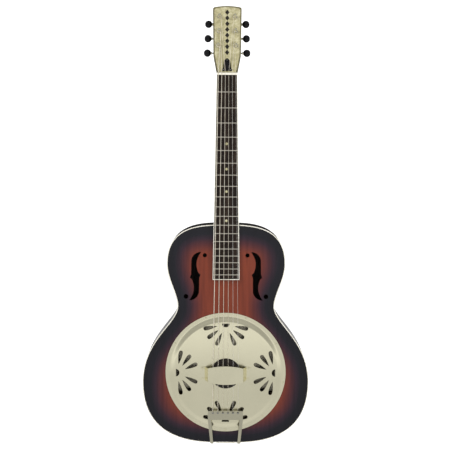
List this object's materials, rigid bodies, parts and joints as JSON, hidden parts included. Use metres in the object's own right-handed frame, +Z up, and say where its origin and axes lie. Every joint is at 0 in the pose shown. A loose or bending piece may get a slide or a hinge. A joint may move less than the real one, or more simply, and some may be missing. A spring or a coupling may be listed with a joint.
{
  "type": "resonator guitar",
  "caption": "Round-neck six-string resonator guitar with a figure-eight wooden body, two f-holes, a pierced domed metal cover plate over a spun cone, and a trapeze tailpiece.",
  "frame": {"origin": "on the centre line inside the headstock, just behind the nut, where a wall hanger yoke holds the flare of the headstock", "axes": "+Z up along the neck towards the headstock top, -Y out of the front (strings) side, +X to the treble side"},
  "size_m": [0.358, 0.1127, 0.9511],
  "materials": {
    "sunburst_top": "gloss dark sunburst over a red-brown centre",
    "dark_lacquer": "gloss near-black brown lacquer",
    "mahogany": "bare mahogany",
    "plywood": "bare plywood",
    "stained_maple": "maple stained near black, matt",
    "ivory_plastic": "polished cream plastic",
    "rosewood": "open-grained, oiled",
    "pearloid": "cream-green pearl marbled, gloss",
    "nickel": "warm nickel plate, satin polish",
    "spun_aluminium": "spun, with fine turning rings",
    "steel": "plain steel",
    "brass": "machined brass",
    "black_plastic": "polished black",
    "wound_string": "bronze wound wire",
    "plain_string": "bright plain wire"
  },
  "bodies": {
    "root": {"soundboard": "sunburst_top", "back_plate": "dark_lacquer", "side_bass": "dark_lacquer", "side_treble": "dark_lacquer", "top_binding": "ivory_plastic", "back_binding": "ivory_plastic", "neck_block": "mahogany", "tail_block": "mahogany", "sound_well": "plywood", "resonator_cone": "spun_aluminium", "biscuit": "stained_maple", "biscuit_screw": "steel", "saddle": "stained_maple", "cover_plate": "nickel", "hand_rest": "nickel", "neck": "dark_lacquer", "heel_cap": "ivory_plastic", "truss_rod": "steel", "truss_rod_cover": "black_plastic", "headstock_overlay": "pearloid", "nut": "ivory_plastic", "fingerboard": "rosewood", "fingerboard_binding": "ivory_plastic", "fingerboard_shim": "dark_lacquer", "tail_hanger": "nickel", "tail_hinge_pin": "steel", "strap_button": "nickel", "tuner_plate_bass": "nickel", "tuner_plate_treble": "nickel", "string_1": "wound_string", "string_2": "wound_string", "string_3": "wound_string", "string_4": "wound_string", "string_5": "plain_string", "string_6": "plain_string"},
    "tailpiece": {"tailpiece": "nickel"},
    "knob_1": {"tuner_shaft_1": "steel", "tuner_button_1": "black_plastic"},
    "post_1": {"tuner_post_1": "nickel", "tuner_gear_1": "brass"},
    "knob_2": {"tuner_shaft_2": "steel", "tuner_button_2": "black_plastic"},
    "post_2": {"tuner_post_2": "nickel", "tuner_gear_2": "brass"},
    "knob_3": {"tuner_shaft_3": "steel", "tuner_button_3": "black_plastic"},
    "post_3": {"tuner_post_3": "nickel", "tuner_gear_3": "brass"},
    "knob_4": {"tuner_shaft_4": "steel", "tuner_button_4": "black_plastic"},
    "post_4": {"tuner_post_4": "nickel", "tuner_gear_4": "brass"},
    "knob_5": {"tuner_shaft_5": "steel", "tuner_button_5": "black_plastic"},
    "post_5": {"tuner_post_5": "nickel", "tuner_gear_5": "brass"},
    "knob_6": {"tuner_shaft_6": "steel", "tuner_button_6": "black_plastic"},
    "post_6": {"tuner_post_6": "nickel", "tuner_gear_6": "brass"}
  },
  "joints": [
    {"name": "tailpiece_hinge", "type": "hinge", "parent": "root", "child": "tailpiece", "pos_m": [0, -0.004, -0.8064], "axis": [-1, 0, 0], "range_deg": [0, 1.5], "stiffness_Nm_per_rad": 5},
    {"name": "knob_1_turn", "type": "hinge", "parent": "root", "child": "knob_1", "pos_m": [-0.01904, 0.02266, 0.03442], "axis": [0.9995, -0.0087, -0.0302], "continuous": true},
    {"name": "post_1_turn", "type": "hinge", "parent": "root", "child": "post_1", "pos_m": [-0.01876, 0.02508, 0.04288], "axis": [0, -0.9613, 0.2756], "continuous": true},
    {"name": "knob_2_turn", "type": "hinge", "parent": "root", "child": "knob_2", "pos_m": [-0.018, 0.03175, 0.06613], "axis": [0.9995, -0.0087, -0.0302], "continuous": true},
    {"name": "post_2_turn", "type": "hinge", "parent": "root", "child": "post_2", "pos_m": [-0.01772, 0.03418, 0.07459], "axis": [0, -0.9613, 0.2756], "continuous": true},
    {"name": "knob_3_turn", "type": "hinge", "parent": "root", "child": "knob_3", "pos_m": [-0.01696, 0.04084, 0.09784], "axis": [0.9995, -0.0087, -0.0302], "continuous": true},
    {"name": "post_3_turn", "type": "hinge", "parent": "root", "child": "post_3", "pos_m": [-0.01669, 0.04327, 0.10629], "axis": [0, -0.9613, 0.2756], "continuous": true},
    {"name": "knob_4_turn", "type": "hinge", "parent": "root", "child": "knob_4", "pos_m": [0.01696, 0.04084, 0.09784], "axis": [0.9995, 0.0087, 0.0302], "continuous": true},
    {"name": "post_4_turn", "type": "hinge", "parent": "root", "child": "post_4", "pos_m": [0.01669, 0.04327, 0.10629], "axis": [0, -0.9613, 0.2756], "continuous": true},
    {"name": "knob_5_turn", "type": "hinge", "parent": "root", "child": "knob_5", "pos_m": [0.018, 0.03175, 0.06613], "axis": [0.9995, 0.0087, 0.0302], "continuous": true},
    {"name": "post_5_turn", "type": "hinge", "parent": "root", "child": "post_5", "pos_m": [0.01772, 0.03418, 0.07459], "axis": [0, -0.9613, 0.2756], "continuous": true},
    {"name": "knob_6_turn", "type": "hinge", "parent": "root", "child": "knob_6", "pos_m": [0.01904, 0.02266, 0.03442], "axis": [0.9995, 0.0087, 0.0302], "continuous": true},
    {"name": "post_6_turn", "type": "hinge", "parent": "root", "child": "post_6", "pos_m": [0.01876, 0.02508, 0.04288], "axis": [0, -0.9613, 0.2756], "continuous": true}
  ],
  "couplings": [
    {"joint": "post_1_turn", "follows": "knob_1_turn", "ratio": -0.071429},
    {"joint": "post_2_turn", "follows": "knob_2_turn", "ratio": -0.071429},
    {"joint": "post_3_turn", "follows": "knob_3_turn", "ratio": -0.071429},
    {"joint": "post_4_turn", "follows": "knob_4_turn", "ratio": -0.071429},
    {"joint": "post_5_turn", "follows": "knob_5_turn", "ratio": -0.071429},
    {"joint": "post_6_turn", "follows": "knob_6_turn", "ratio": -0.071429}
  ]
}
